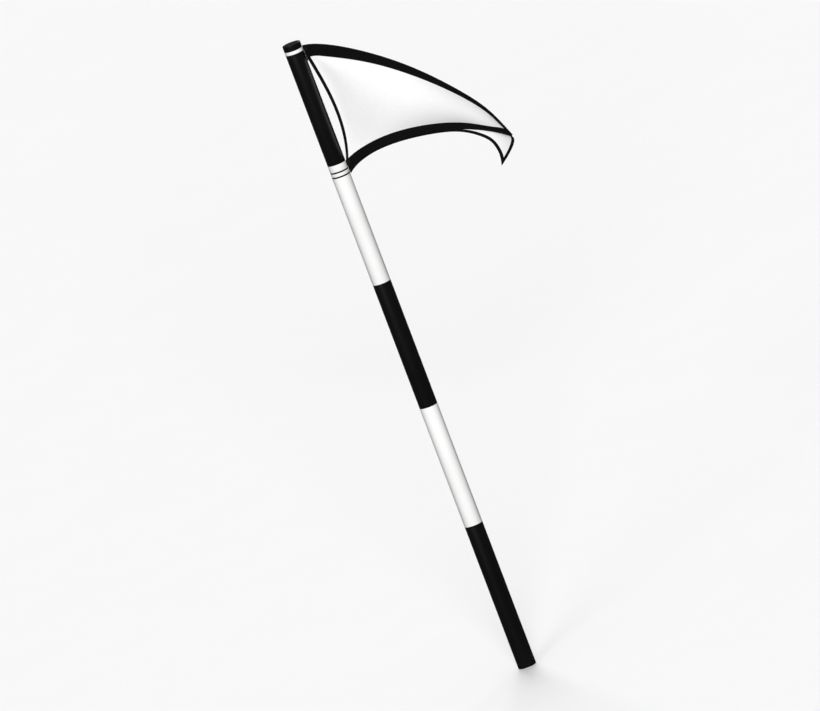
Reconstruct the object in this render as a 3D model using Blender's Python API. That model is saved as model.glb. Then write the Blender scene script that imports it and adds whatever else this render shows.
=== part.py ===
"""Golf flagstick in five screwed sections, with a flag that swivels on a spindle.

Units are metres and +Z is up. The origin is the middle of the foot's flat
bottom, the pole's axis is the Z axis and the flag flies towards +X.
"""

from math import pi

import bmesh
import bpy
import numpy as np
from mathutils import Matrix, Vector

MM = 0.001
SEGMENTS = 40
JOIN_GAP = 0.3 * MM

# The pole's outer size.
POLE_LENGTH = 1828.8 * MM
POLE_RADIUS = 25.4 * MM
WALL = 3.0 * MM
TUBE_BORE = POLE_RADIUS - WALL
PLUG_RADIUS = TUBE_BORE - JOIN_GAP

# Where each colour band ends, from the ground up.
BASE_TOP = 418.3 * MM
LOWER_WHITE_TOP = 766.7 * MM
MIDDLE_BLACK_TOP = 1129.5 * MM
UPPER_WHITE_TOP = 1441.6 * MM
FLANGE_BOTTOM = 1445.8 * MM
FLANGE_TOP = 1454.8 * MM
COLLAR_BOTTOM = 1459.0 * MM
COLLAR_TOP = 1478.0 * MM
RING_BOTTOM = 1802.0 * MM
RING_TOP = 1811.1 * MM
CAP_BOTTOM = 1813.6 * MM

# Screwed joints between the sections.
STUD_RADIUS = 12.45 * MM
STUD_DEPTH = 28.0 * MM
SOCKET_BORE = 12.95 * MM
SOCKET_LENGTH = 45.0 * MM
SOCKET_FLOOR = 5.0 * MM
STUD_PLUG_LENGTH = 40.0 * MM
STUD_PLUG_FLOOR = 10.0 * MM
STUD_PLUG_BORE = 18.0 * MM
WASHER = 3.6 * MM
WASHER_BORE = 13.2 * MM
LEAD_IN = 1.2 * MM

# The foot.
FOOT_HEIGHT = 12.0 * MM
FOOT_SPIGOT_TOP = 42.0 * MM
FOOT_CHAMFER = 2.4 * MM

# The spindle and what turns on it.
SPINDLE_RADIUS = 16.0 * MM
SPINDLE_BORE = 14.0 * MM
SPINDLE_TOP = 1806.0 * MM
SPINDLE_PLUG = SPINDLE_BORE - JOIN_GAP
BUSH_BORE = 16.35 * MM
RING_BORE = 16.6 * MM
COLLAR_SPIGOT = 12.0 * MM
BUSH_LENGTH = 32.0 * MM

# The screwed cap.
CAP_STUD_RADIUS = 9.7 * MM
CAP_STUD_TOP = 1824.5 * MM
CAP_POCKET = 14.6 * MM
CAP_CEILING = 1825.2 * MM
CAP_INSERT_BORE = 10.15 * MM
CAP_WASHER_BORE = 10.4 * MM
CAP_WASHER_TOP = 1813.3 * MM
CAP_ROUND = 2.2 * MM
CAP_CROWN = 0.5 * MM

# The lugs that hold the flag's corners.
LUG_THICKNESS = 3.0 * MM
LUG_ROOT = 20.0 * MM
LUG_CLEAR = 26.3 * MM
LUG_REACH = 42.0 * MM
LUG_ROUND = 6.0 * MM
RIVET_X = 34.0 * MM
UPPER_RIVET_Z = 1798.0 * MM
LOWER_RIVET_Z = 1467.0 * MM
UPPER_LUG = (1788.0 * MM, 1809.0 * MM)
LOWER_LUG = (1460.5 * MM, 1476.0 * MM)
RIVET_SHANK = 2.4 * MM
RIVET_HEAD = 4.6 * MM
RIVET_HEAD_HEIGHT = 1.6 * MM
RIVET_HOLE = 2.85 * MM
PLATE_WIDTH = 12.0 * MM
PLATE_HEIGHT = 16.0 * MM
PLATE_THICKNESS = 1.4 * MM
PLATE_GAP = 0.8 * MM

# The flag. Each guide runs from the pole to the free end, in millimetres.
CLOTH = 2.0 * MM
FLAG_Y = -3.0 * MM
HOIST_BOW = 22.0 * MM
BILLOW = 20.0 * MM
FLAP_BULGE = np.array((20.0, 0.0, 9.0)) * MM
FLAP_START = 0.55
FLAG_COLUMNS = 26
GUIDES_MM = {
    "top_edge": [
        (26.6, -3, 1814), (42, -3, 1811), (67, -8, 1804), (162, -34, 1755),
        (270, -58, 1674), (378, -52, 1558), (432, -36, 1477), (470, -15, 1384),
    ],
    "top_border": [
        (27, -3, 1777), (43, -3, 1777), (67, -8, 1769), (162, -34, 1723),
        (270, -58, 1647), (378, -52, 1541), (432, -36, 1462), (468, -15, 1387),
    ],
    "band_top": [
        (27.6, -3, 1477), (43, -3, 1484), (67, -10, 1493), (162, -48, 1511),
        (270, -66, 1500), (378, -52, 1459), (432, -36, 1425), (468, -16, 1385),
    ],
    "band_bottom": [
        (26.6, -3, 1448), (43, -3, 1460), (67, -10, 1471), (162, -50, 1490),
        (270, -68, 1481), (378, -52, 1440), (432, -36, 1408), (470, -15, 1379),
    ],
    "bottom_edge": [
        (26.6, -3, 1440), (43, -3, 1452), (67, -10, 1464), (162, -50, 1483),
        (270, -68, 1473), (351, -62, 1446), (391, -58, 1417), (418, -58, 1374),
        (423, -60, 1355), (418, -64, 1329),
    ],
}
PANEL_ROWS = 6

BLACK = (0.008, 0.008, 0.009)
WHITE = (0.86, 0.86, 0.85)
ALUMINIUM = (0.76, 0.77, 0.78)
BRASS = (0.72, 0.55, 0.28)
NYLON = (0.80, 0.79, 0.75)


def clear_scene():
    for obj in list(bpy.data.objects):
        bpy.data.objects.remove(obj, do_unlink=True)


def make_material(name, colour, roughness, metallic=0.0):
    material = bpy.data.materials.new(name)
    material.use_nodes = True
    shader = material.node_tree.nodes["Principled BSDF"]
    shader.inputs["Base Color"].default_value = (*colour, 1.0)
    shader.inputs["Roughness"].default_value = roughness
    shader.inputs["Metallic"].default_value = metallic
    return material


def add_object(name, bm, material, parent=None):
    """Turn a bmesh in world coordinates into a smooth-shaded object under its parent."""
    bmesh.ops.recalc_face_normals(bm, faces=bm.faces)
    mesh = bpy.data.meshes.new(name)
    bm.to_mesh(mesh)
    bm.free()
    obj = bpy.data.objects.new(name, mesh)
    bpy.context.scene.collection.objects.link(obj)
    if parent is not None:
        mesh.transform(Matrix.Translation(-parent.location))
        obj.parent = parent
    mesh.shade_smooth()
    mesh.set_sharp_from_angle(angle=pi / 6)
    if material is not None:
        mesh.materials.append(material)
    return obj


def add_empty(name, z=0.0):
    empty = bpy.data.objects.new(name, None)
    empty.location = (0.0, 0.0, z)
    bpy.context.scene.collection.objects.link(empty)
    return empty


def turned_mesh(profile, closed=True, axis="Z", centre=(0.0, 0.0, 0.0), segments=SEGMENTS):
    """Spin (radius, height) points about an axis. An open profile starts and ends on it."""
    bm = bmesh.new()
    along = Vector((0, 0, 1)) if axis == "Z" else Vector((0, 1, 0))
    points = [Vector((r, 0.0, 0.0)) + along * h + Vector(centre) for r, h in profile]
    verts = [bm.verts.new(p) for p in points]
    edges = [bm.edges.new(pair) for pair in zip(verts, verts[1:])]
    if closed:
        edges.append(bm.edges.new((verts[-1], verts[0])))
    bmesh.ops.spin(
        bm, geom=verts + edges, cent=centre, axis=along, angle=2 * pi, steps=segments,
        use_merge=True,
    )
    bmesh.ops.remove_doubles(bm, verts=bm.verts, dist=1e-6)
    return bm


def turned(name, profile, material, parent=None, closed=True):
    return add_object(name, turned_mesh(profile, closed), material, parent)


def ring_profile(inner, outer, low, high):
    return [(inner, low), (outer, low), (outer, high), (inner, high)]


def make_foot(material):
    """A flat foot with a spigot glued up into the tube."""
    profile = [
        (0.0, 0.0),
        (POLE_RADIUS - FOOT_CHAMFER, 0.0),
        (POLE_RADIUS - FOOT_CHAMFER * 0.3, FOOT_CHAMFER * 0.3),
        (POLE_RADIUS, FOOT_CHAMFER),
        (POLE_RADIUS, FOOT_HEIGHT),
        (PLUG_RADIUS, FOOT_HEIGHT),
        (PLUG_RADIUS, FOOT_SPIGOT_TOP),
        (0.0, FOOT_SPIGOT_TOP),
    ]
    turned("base_foot", profile, material, closed=False)


def make_tube(name, low, high, material, parent=None):
    turned(name, ring_profile(TUBE_BORE, POLE_RADIUS, low, high), material, parent)


def make_socket(name, top, material, parent=None):
    """A blind threaded socket glued flush in the top of a tube."""
    bottom = top - SOCKET_LENGTH
    profile = [
        (0.0, bottom),
        (PLUG_RADIUS, bottom),
        (PLUG_RADIUS, top),
        (SOCKET_BORE + LEAD_IN, top),
        (SOCKET_BORE, top - LEAD_IN),
        (SOCKET_BORE, bottom + SOCKET_FLOOR),
        (0.0, bottom + SOCKET_FLOOR),
    ]
    turned(name, profile, material, parent, closed=False)


def make_stud(name, shoulder, tip, material, parent=None):
    """A stud that reaches down from a hollow plug glued in the bottom of a tube."""
    profile = [
        (0.0, tip),
        (STUD_RADIUS - LEAD_IN, tip),
        (STUD_RADIUS, tip + LEAD_IN),
        (STUD_RADIUS, shoulder),
        (PLUG_RADIUS, shoulder),
        (PLUG_RADIUS, shoulder + STUD_PLUG_LENGTH),
        (STUD_PLUG_BORE, shoulder + STUD_PLUG_LENGTH),
        (STUD_PLUG_BORE, shoulder + STUD_PLUG_FLOOR),
        (0.0, shoulder + STUD_PLUG_FLOOR),
    ]
    turned(name, profile, material, parent, closed=False)


def make_joint_washer(name, low, high, material):
    """The washer that seals a screwed joint and rises with the section above it."""
    holder = add_empty(name + "_slide", low)
    profile = ring_profile(WASHER_BORE, POLE_RADIUS, low + JOIN_GAP, high - JOIN_GAP)
    turned(name, profile, material, holder)


def make_section(name, bottom, top, tube_material, stud_material, socket_material):
    """A tube with its stud and its socket, on an empty that marks the screw's axis.

    The joint's face is at the bottom, and the stud passes the washer below it.
    """
    holder = add_empty(name + "_section", bottom)
    tip = bottom - WASHER - STUD_DEPTH
    make_tube(name + "_tube", bottom, top, tube_material, holder)
    make_stud(name + "_stud", bottom, tip, stud_material, holder)
    make_socket(name + "_socket", top, socket_material, holder)


def make_head(materials):
    """The fixed part of the head: stud, flange, thrust washer, spindle and cap stud."""
    holder = add_empty("head_section", FLANGE_BOTTOM)
    tip = UPPER_WHITE_TOP - STUD_DEPTH
    stud = [
        (0.0, tip),
        (STUD_RADIUS - LEAD_IN, tip),
        (STUD_RADIUS, tip + LEAD_IN),
        (STUD_RADIUS, FLANGE_BOTTOM),
        (SPINDLE_PLUG, FLANGE_BOTTOM),
        (SPINDLE_PLUG, COLLAR_TOP + COLLAR_SPIGOT),
        (0.0, COLLAR_TOP + COLLAR_SPIGOT),
    ]
    turned("head_stud", stud, materials["aluminium"], holder, closed=False)
    flange = ring_profile(SPINDLE_BORE, POLE_RADIUS, FLANGE_BOTTOM, FLANGE_TOP)
    turned("head_flange", flange, materials["white"], holder)
    thrust = ring_profile(
        RING_BORE, POLE_RADIUS, FLANGE_TOP + JOIN_GAP, COLLAR_BOTTOM - JOIN_GAP
    )
    turned("thrust_washer", thrust, materials["black_nylon"], holder)
    spindle = ring_profile(SPINDLE_BORE, SPINDLE_RADIUS, FLANGE_TOP + JOIN_GAP, SPINDLE_TOP)
    turned("spindle", spindle, materials["aluminium"], holder)
    seat = SPINDLE_TOP + JOIN_GAP
    cap_stud = [
        (0.0, SPINDLE_TOP - STUD_PLUG_LENGTH),
        (SPINDLE_PLUG, SPINDLE_TOP - STUD_PLUG_LENGTH),
        (SPINDLE_PLUG, seat),
        (SPINDLE_RADIUS, seat),
        (SPINDLE_RADIUS, RING_TOP - JOIN_GAP),
        (CAP_STUD_RADIUS, RING_TOP - JOIN_GAP),
        (CAP_STUD_RADIUS, CAP_STUD_TOP - LEAD_IN),
        (CAP_STUD_RADIUS - LEAD_IN, CAP_STUD_TOP),
        (0.0, CAP_STUD_TOP),
    ]
    turned("cap_stud", cap_stud, materials["brass"], holder, closed=False)


def make_cap(materials):
    """The screwed cap with its insert, and the washer that it carries."""
    washer_holder = add_empty("cap_washer_slide", RING_TOP)
    washer = ring_profile(CAP_WASHER_BORE, POLE_RADIUS, RING_TOP + JOIN_GAP, CAP_WASHER_TOP)
    turned("cap_washer", washer, materials["black_rubber"], washer_holder)
    holder = add_empty("cap_turn", CAP_BOTTOM)
    round_steps = [pi / 2 * i / 3 for i in range(4)]
    corner = [
        (
            POLE_RADIUS - CAP_ROUND * (1 - np.cos(a)),
            POLE_LENGTH - CAP_CROWN - CAP_ROUND * (1 - np.sin(a)),
        )
        for a in round_steps
    ]
    cap = [
        (CAP_POCKET, CAP_BOTTOM),
        (POLE_RADIUS, CAP_BOTTOM),
        *corner,
        (0.0, POLE_LENGTH),
    ]
    cap = [(0.0, CAP_CEILING), (CAP_POCKET, CAP_CEILING), *cap]
    turned("top_cap", cap, materials["black_gloss"], holder, closed=False)
    insert = ring_profile(
        CAP_INSERT_BORE, CAP_POCKET - JOIN_GAP, CAP_BOTTOM + JOIN_GAP, CAP_CEILING - JOIN_GAP
    )
    turned("cap_insert", insert, materials["brass"], holder)


def rounded_outline(corners, radius, steps=4):
    """Corners of (x, z, rounded?) with a quarter arc on each rounded one."""
    outline = []
    count = len(corners)
    for i, (x, z, rounded) in enumerate(corners):
        here = Vector((x, z))
        if not rounded:
            outline.append(here)
            continue
        back = Vector(corners[i - 1][:2]) - here
        ahead = Vector(corners[(i + 1) % count][:2]) - here
        u, v = back.normalized() * radius, ahead.normalized() * radius
        for k in range(steps + 1):
            a = pi / 2 * k / steps
            outline.append(here + u * (1 - np.sin(a)) + v * (1 - np.cos(a)))
    return outline


def slab(outline, y_low, y_high):
    """An (x, z) outline extruded from y_low to y_high."""
    bm = bmesh.new()
    face = bm.faces.new([bm.verts.new((p.x, y_low, p.y)) for p in outline])
    grown = bmesh.ops.extrude_face_region(bm, geom=[face])
    moved = [v for v in grown["geom"] if isinstance(v, bmesh.types.BMVert)]
    bmesh.ops.translate(bm, verts=moved, vec=(0.0, y_high - y_low, 0.0))
    return bm


def add_boolean(obj, cutter, operation):
    cutter.hide_render = True
    cutter.display_type = "WIRE"
    modifier = obj.modifiers.new(cutter.name, "BOOLEAN")
    modifier.operation = operation
    modifier.object = cutter
    modifier.solver = "EXACT"


def rivet_hole(name, z, parent):
    """A round cutter along Y through a rivet's place."""
    length = 30.0 * MM
    profile = [(0.0, -length), (RIVET_HOLE, -length), (RIVET_HOLE, length), (0.0, length)]
    bm = turned_mesh(profile, False, "Y", (RIVET_X, 0.0, z), 20)
    return add_object(name, bm, None, parent)


def make_lug_ring(name, profile, lug, hole, material, parent):
    """A ring on the flag tube with a flat lug for one corner of the flag."""
    ring = turned(name, profile, material, parent)
    blade = add_object(name + "_lug", slab(lug, -LUG_THICKNESS / 2, LUG_THICKNESS / 2), None, parent)
    add_boolean(ring, blade, "UNION")
    add_boolean(ring, hole, "DIFFERENCE")


def make_swivel(materials, parent, upper_hole, lower_hole):
    """The flag tube with its two bushes and the two rings that carry the flag."""
    collar = [
        (RING_BORE, COLLAR_BOTTOM),
        (POLE_RADIUS, COLLAR_BOTTOM),
        (POLE_RADIUS, COLLAR_TOP),
        (PLUG_RADIUS, COLLAR_TOP),
        (PLUG_RADIUS, COLLAR_TOP + COLLAR_SPIGOT),
        (RING_BORE, COLLAR_TOP + COLLAR_SPIGOT),
    ]
    low, high = LOWER_LUG
    lower_lug = [
        (LUG_ROOT, low, False), (LUG_REACH, low, True), (LUG_REACH, high, True),
        (LUG_ROOT, high, False),
    ]
    make_lug_ring(
        "lower_flag_collar", collar, rounded_outline(lower_lug, LUG_ROUND), lower_hole,
        materials["white"], parent,
    )
    ring = [
        (RING_BORE, RING_TOP),
        (RING_BORE, RING_BOTTOM - COLLAR_SPIGOT),
        (PLUG_RADIUS, RING_BOTTOM - COLLAR_SPIGOT),
        (PLUG_RADIUS, RING_BOTTOM),
        (POLE_RADIUS, RING_BOTTOM),
        (POLE_RADIUS, RING_TOP),
    ]
    low, high = UPPER_LUG
    upper_lug = [
        (LUG_ROOT, RING_BOTTOM + LEAD_IN, False), (LUG_CLEAR, RING_BOTTOM + LEAD_IN, False),
        (LUG_CLEAR, low, False), (LUG_REACH, low, True), (LUG_REACH, high, True),
        (LUG_ROOT, high, False),
    ]
    make_lug_ring(
        "upper_flag_ring", ring, rounded_outline(upper_lug, LUG_ROUND), upper_hole,
        materials["white"], parent,
    )
    make_tube(
        "flag_tube", COLLAR_TOP + JOIN_GAP, RING_BOTTOM - JOIN_GAP, materials["black_gloss"],
        parent,
    )
    start = COLLAR_TOP + COLLAR_SPIGOT + JOIN_GAP
    lower_bush = ring_profile(BUSH_BORE, PLUG_RADIUS, start, start + BUSH_LENGTH)
    turned("lower_bush", lower_bush, materials["nylon"], parent)
    end = RING_BOTTOM - COLLAR_SPIGOT - JOIN_GAP
    upper_bush = ring_profile(BUSH_BORE, PLUG_RADIUS, end - BUSH_LENGTH, end)
    turned("upper_bush", upper_bush, materials["nylon"], parent)


def smooth_curve(points, fractions):
    """A natural cubic spline through points, read at fractions of the chord length."""
    points = np.array(points, dtype=float)
    chords = np.linalg.norm(np.diff(points, axis=0), axis=1)
    knots = np.concatenate([[0.0], np.cumsum(chords)]) / chords.sum()
    gaps = np.diff(knots)
    count = len(points)
    matrix = np.eye(count)
    slopes = np.diff(points, axis=0) / gaps[:, None]
    right = np.zeros_like(points)
    for i in range(1, count - 1):
        matrix[i, i - 1 : i + 2] = gaps[i - 1], 2 * (gaps[i - 1] + gaps[i]), gaps[i]
        right[i] = 6 * (slopes[i] - slopes[i - 1])
    bend = np.linalg.solve(matrix, right)
    places = []
    for t in fractions:
        i = min(int(np.searchsorted(knots, t, side="right")) - 1, count - 2)
        h = gaps[i]
        a, b = (knots[i + 1] - t) / h, (t - knots[i]) / h
        sag = ((a**3 - a) * bend[i] + (b**3 - b) * bend[i + 1]) * h * h / 6
        places.append(a * points[i] + b * points[i + 1] + sag)
    return np.array(places)


def flag_rows(columns):
    """Rows of points from the flag's bottom edge to its top edge."""
    fractions = np.linspace(0.0, 1.0, columns + 1)
    guide = {name: smooth_curve(p, fractions) * MM for name, p in GUIDES_MM.items()}
    swing = np.clip((fractions - FLAP_START) / (1 - FLAP_START), 0, 1)[:, None] ** 2
    rows = [
        guide["bottom_edge"],
        (guide["bottom_edge"] + guide["band_bottom"]) / 2 + FLAP_BULGE * swing,
        guide["band_bottom"],
        guide["band_top"],
    ]
    for k in range(1, PANEL_ROWS):
        q = k / PANEL_ROWS
        row = guide["band_top"] * (1 - q) + guide["top_border"] * q
        arch = 4 * q * (1 - q)
        row[:, 0] += HOIST_BOW * arch * np.clip(1 - 4 * fractions, 0, 1) ** 2
        row[:, 1] -= BILLOW * arch * np.sin(pi * fractions)
        rows.append(row)
    rows += [guide["top_border"], guide["top_edge"]]
    return rows


def make_flag(material, parent, upper_hole, lower_hole):
    """The cloth as one thin closed solid, pierced by the two rivets."""
    bm = bmesh.new()
    grid = [[bm.verts.new(p) for p in row] for row in flag_rows(FLAG_COLUMNS)]
    for low, high in zip(grid, grid[1:]):
        for i in range(FLAG_COLUMNS):
            bm.faces.new((low[i], low[i + 1], high[i + 1], high[i]))
    flag = add_object("flag", bm, material, parent)
    solid = flag.modifiers.new("cloth", "SOLIDIFY")
    solid.thickness = CLOTH
    solid.offset = 0.0
    solid.use_even_offset = False
    add_boolean(flag, upper_hole, "DIFFERENCE")
    add_boolean(flag, lower_hole, "DIFFERENCE")


def make_fixings(materials, parent, upper_hole, lower_hole):
    """At each corner a plate clamps the cloth to the lug, with a rivet through them all."""
    plate_back = FLAG_Y - CLOTH / 2 - PLATE_GAP
    plate_front = plate_back - PLATE_THICKNESS
    head_front = plate_front - JOIN_GAP
    head_back = LUG_THICKNESS / 2 + JOIN_GAP
    rivet = [
        (0.0, head_front - RIVET_HEAD_HEIGHT),
        (RIVET_HEAD * 0.7, head_front - RIVET_HEAD_HEIGHT),
        (RIVET_HEAD, head_front - RIVET_HEAD_HEIGHT * 0.4),
        (RIVET_HEAD, head_front),
        (RIVET_SHANK, head_front),
        (RIVET_SHANK, head_back),
        (RIVET_HEAD, head_back),
        (RIVET_HEAD, head_back + RIVET_HEAD_HEIGHT * 0.6),
        (RIVET_HEAD * 0.7, head_back + RIVET_HEAD_HEIGHT),
        (0.0, head_back + RIVET_HEAD_HEIGHT),
    ]
    places = (("upper", UPPER_RIVET_Z, upper_hole), ("lower", LOWER_RIVET_Z, lower_hole))
    for side, z, hole in places:
        low, high = z - PLATE_HEIGHT / 2, z + PLATE_HEIGHT / 2
        left, right = RIVET_X - PLATE_WIDTH / 2, RIVET_X + PLATE_WIDTH / 2
        corners = [(left, low, True), (right, low, True), (right, high, True), (left, high, True)]
        outline = rounded_outline(corners, PLATE_WIDTH / 4, 3)
        plate = add_object(
            side + "_corner_plate", slab(outline, plate_front, plate_back),
            materials["black_nylon"], parent,
        )
        add_boolean(plate, hole, "DIFFERENCE")
        bm = turned_mesh(rivet, False, "Y", (RIVET_X, 0.0, z), 20)
        add_object(side + "_rivet", bm, materials["black_metal"], parent)


def main():
    clear_scene()
    materials = {
        "black_gloss": make_material("black_gelcoat", BLACK, 0.25),
        "white": make_material("white_gelcoat", WHITE, 0.3),
        "black_rubber": make_material("black_rubber", BLACK, 0.7),
        "black_nylon": make_material("black_nylon", BLACK, 0.5),
        "black_metal": make_material("black_oxide", BLACK, 0.4, 0.6),
        "aluminium": make_material("aluminium", ALUMINIUM, 0.3, 1.0),
        "brass": make_material("brass", BRASS, 0.35, 1.0),
        "nylon": make_material("natural_nylon", NYLON, 0.5),
        "cloth": make_material("flag_cloth", WHITE, 0.85),
    }
    black, white = materials["black_gloss"], materials["white"]
    rubber, metal = materials["black_rubber"], materials["aluminium"]

    make_foot(rubber)
    base_top = BASE_TOP - WASHER
    make_tube("base_tube", FOOT_HEIGHT + JOIN_GAP, base_top, black)
    make_socket("base_socket", base_top, metal)

    make_joint_washer("joint_washer_1", base_top, BASE_TOP, rubber)
    make_section("lower_white", BASE_TOP, LOWER_WHITE_TOP, white, metal, metal)

    middle_bottom = LOWER_WHITE_TOP + WASHER
    make_joint_washer("joint_washer_2", LOWER_WHITE_TOP, middle_bottom, rubber)
    middle_top = MIDDLE_BLACK_TOP - WASHER
    make_section("middle_black", middle_bottom, middle_top, black, metal, metal)

    make_joint_washer("joint_washer_3", middle_top, MIDDLE_BLACK_TOP, rubber)
    make_section("upper_white", MIDDLE_BLACK_TOP, UPPER_WHITE_TOP, white, metal, metal)

    make_joint_washer("joint_washer_4", UPPER_WHITE_TOP, FLANGE_BOTTOM, rubber)
    make_head(materials)

    swivel = add_empty("flag_swivel", COLLAR_BOTTOM)
    upper_hole = rivet_hole("upper_rivet_hole", UPPER_RIVET_Z, swivel)
    lower_hole = rivet_hole("lower_rivet_hole", LOWER_RIVET_Z, swivel)
    make_swivel(materials, swivel, upper_hole, lower_hole)
    make_flag(materials["cloth"], swivel, upper_hole, lower_hole)
    make_fixings(materials, swivel, upper_hole, lower_hole)
    make_cap(materials)
    bpy.context.view_layer.update()


main()
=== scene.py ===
from math import cos, pi, radians, sin

import bmesh
import bpy
import numpy as np
from mathutils import Matrix, Vector


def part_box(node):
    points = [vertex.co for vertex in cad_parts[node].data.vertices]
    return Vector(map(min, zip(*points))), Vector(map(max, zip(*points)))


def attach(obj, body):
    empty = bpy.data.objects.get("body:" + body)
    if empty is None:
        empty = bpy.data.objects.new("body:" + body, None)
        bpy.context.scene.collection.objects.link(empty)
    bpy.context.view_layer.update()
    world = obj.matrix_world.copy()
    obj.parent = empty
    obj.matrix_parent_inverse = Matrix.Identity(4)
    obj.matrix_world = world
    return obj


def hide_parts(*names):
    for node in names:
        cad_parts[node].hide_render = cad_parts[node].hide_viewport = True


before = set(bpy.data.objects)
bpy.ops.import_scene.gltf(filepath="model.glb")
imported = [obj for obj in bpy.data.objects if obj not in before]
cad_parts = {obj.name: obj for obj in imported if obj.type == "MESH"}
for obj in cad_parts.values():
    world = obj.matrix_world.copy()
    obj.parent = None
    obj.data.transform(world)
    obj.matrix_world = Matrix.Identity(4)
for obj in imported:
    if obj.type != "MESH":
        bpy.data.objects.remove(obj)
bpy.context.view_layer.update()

MM = 0.001

# View.
VIEW_ELEVATION = radians(11.0)
VIEW_ROLL = radians(20.8)
VIEW_WIDTH = 2.2115
VIEW_TARGET = Vector((0.0013, 0.0, 0.9134))
LENS = 1200.0
SENSOR = 36.0

# Studio. The sky's light falls off from overhead to the horizon. The camera sees FAR_WALL.
SKY_POWER = 6.0
SKY_TOP = 1.1
SKY_LOW = 0.05
FAR_WALL = 0.93
FLOOR = 0.88
FLOOR_HALF = 150.0

# Round pieces.
ROUND_STEPS = 128
THREAD_STEPS = 96
RIVET_STEPS = 48
EDGE = 0.5 * MM
RING_EDGE = 0.45 * MM
WASHER_EDGE = 0.4 * MM
TUBE_EDGE = 0.35 * MM
FINE_EDGE = 0.3 * MM
CREASE = radians(35)

# The pole, from its axis.
POLE_RADIUS = (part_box("flag_tube")[1].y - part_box("flag_tube")[0].y) / 2
POLE_BORE = POLE_RADIUS - 3.0 * MM
SEAT_GAP = 0.3 * MM
SPIGOT = POLE_BORE - SEAT_GAP
SWIVEL_BORE = 16.6 * MM
BUSH_BORE = 16.35 * MM
STUD_BORE = 18.0 * MM
PLUG_LENGTH = 40.0 * MM
PLUG_FLOOR = 10.0 * MM

# Threads: five turns per inch on the sections and 3 mm on the cap.
SECTION_PITCH = 25.4 * MM / 5
STUD_CREST = 12.4 * MM
STUD_THREAD = 1.5 * MM
STUD_ROOT = STUD_CREST - STUD_THREAD
CAP_PITCH = 3.0 * MM
CAP_STUD_CREST = 9.7 * MM
CAP_THREAD = 0.9 * MM
THREAD_CLEARANCE = 0.35 * MM
THREAD_FLANK = 0.85
ROWS_PER_TURN = 12

# Fixings at the flag's two corners by the pole.
LUG_HALF = 1.5 * MM
LUG_ROUND = 6.0 * MM
LUG_EDGE = 0.4 * MM
PLATE_ROUND = 3.0 * MM
RIVET_SHANK = 2.4 * MM

# The flag. Its columns run from the pole to the free end and its rows from bottom to top.
COLUMNS = 150
MARGIN = 4
HOIST_BINDING = 9.0 * MM
TIP_BINDING = 11.3 * MM
BINDING = 9.0 * MM
BINDING_MERGE = 3.0 * MM
BINDING_ROWS = 3
FLAP_ROWS = 12
BAND_ROWS = 6
PANEL_ROWS = 56
TOP_ROWS = 8
FLAG_LENGTH = 550.0 * MM
HOIST_BOW = 26.0 * MM
HOIST_LEAN = 0.48
HOIST_REACH = 0.25
BILLOW = 20.0 * MM
BILLOW_END = 0.93
FLAP_BULGE = np.array((18.5, 0.0, 8.0)) * MM
FLAP_START = 0.55
CLOTH_HALF = 0.3 * MM
BORDER_HALF = 0.8 * MM
CLOTH_CREASE = radians(50)
PATCH_SEAM = 3.0 * MM
PATCH_BEVEL = 0.2 * MM

# Folds that fan out from a corner: its (x, z), waves in a full turn, height and phase.
FANS = (((0.028, 1.800), 9.0, 2.6 * MM, 0.4), ((0.028, 1.462), 8.0, 2.2 * MM, 1.3))
FAN_START = 0.02
FAN_RISE = 0.06
FAN_FADE = 0.22
RIPPLE = 1.8 * MM
RIPPLE_LENGTH = 0.052
RIPPLE_LEAN = 0.16
RIPPLE_START = 0.06
RIPPLE_RISE = 0.15

# Stitches. STITCH_PROFILE holds one stitch's rings: place along it, lift and girth.
STITCH_SPACING = 3.2 * MM
STITCH_LENGTH = 2.5 * MM
STITCH_WIDTH = 0.28 * MM
STITCH_SIDES = 6
STITCH_CREASE = radians(80)
STITCH_PROFILE = ((-0.5, -0.15, 0.6), (-0.25, 0.7, 1.0), (0.25, 0.7, 1.0), (0.5, -0.15, 0.6))


# ---------------------------------------------------------------- materials


def add_node(tree, kind, inputs=None, **settings):
    node = tree.nodes.new(kind)
    for key, value in settings.items():
        setattr(node, key, value)
    for key, value in (inputs or {}).items():
        if isinstance(value, bpy.types.NodeSocket):
            tree.links.new(value, node.inputs[key])
        else:
            node.inputs[key].default_value = value
    return node


def start_material(name, roughness, metallic=0.0, **sockets):
    """A material with its Principled shader, and the values that are even all over it."""
    material = bpy.data.materials.new(name)
    material.use_nodes = True
    tree = material.node_tree
    shader = tree.nodes["Principled BSDF"]
    shader.inputs["Roughness"].default_value = roughness
    shader.inputs["Metallic"].default_value = metallic
    for key, value in sockets.items():
        shader.inputs[key.replace("_", " ")].default_value = value
    return material, tree, shader


def coordinates(tree, scale, source="Object"):
    """Object coordinates, or UV coordinates in metres, stretched by a scale for each axis."""
    place = add_node(tree, "ShaderNodeTexCoord").outputs[source]
    return add_node(tree, "ShaderNodeMapping", {"Vector": place, "Scale": scale}).outputs[0]


def noise(tree, scale, detail=3.0, source="Object", rough=0.55):
    vector = coordinates(tree, scale, source)
    return add_node(
        tree, "ShaderNodeTexNoise",
        {"Vector": vector, "Scale": 1.0, "Detail": detail, "Roughness": rough},
    ).outputs["Fac"]


def remap(tree, value, low, high, start=0.3, end=0.7):
    return add_node(
        tree, "ShaderNodeMapRange",
        {"Value": value, "From Min": start, "From Max": end, "To Min": low, "To Max": high},
    ).outputs["Result"]


def math_node(tree, operation, *values):
    node = add_node(tree, "ShaderNodeMath", operation=operation)
    for socket, value in zip(node.inputs, values):
        if isinstance(value, bpy.types.NodeSocket):
            tree.links.new(value, socket)
        else:
            socket.default_value = value
    return node.outputs[0]


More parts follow.
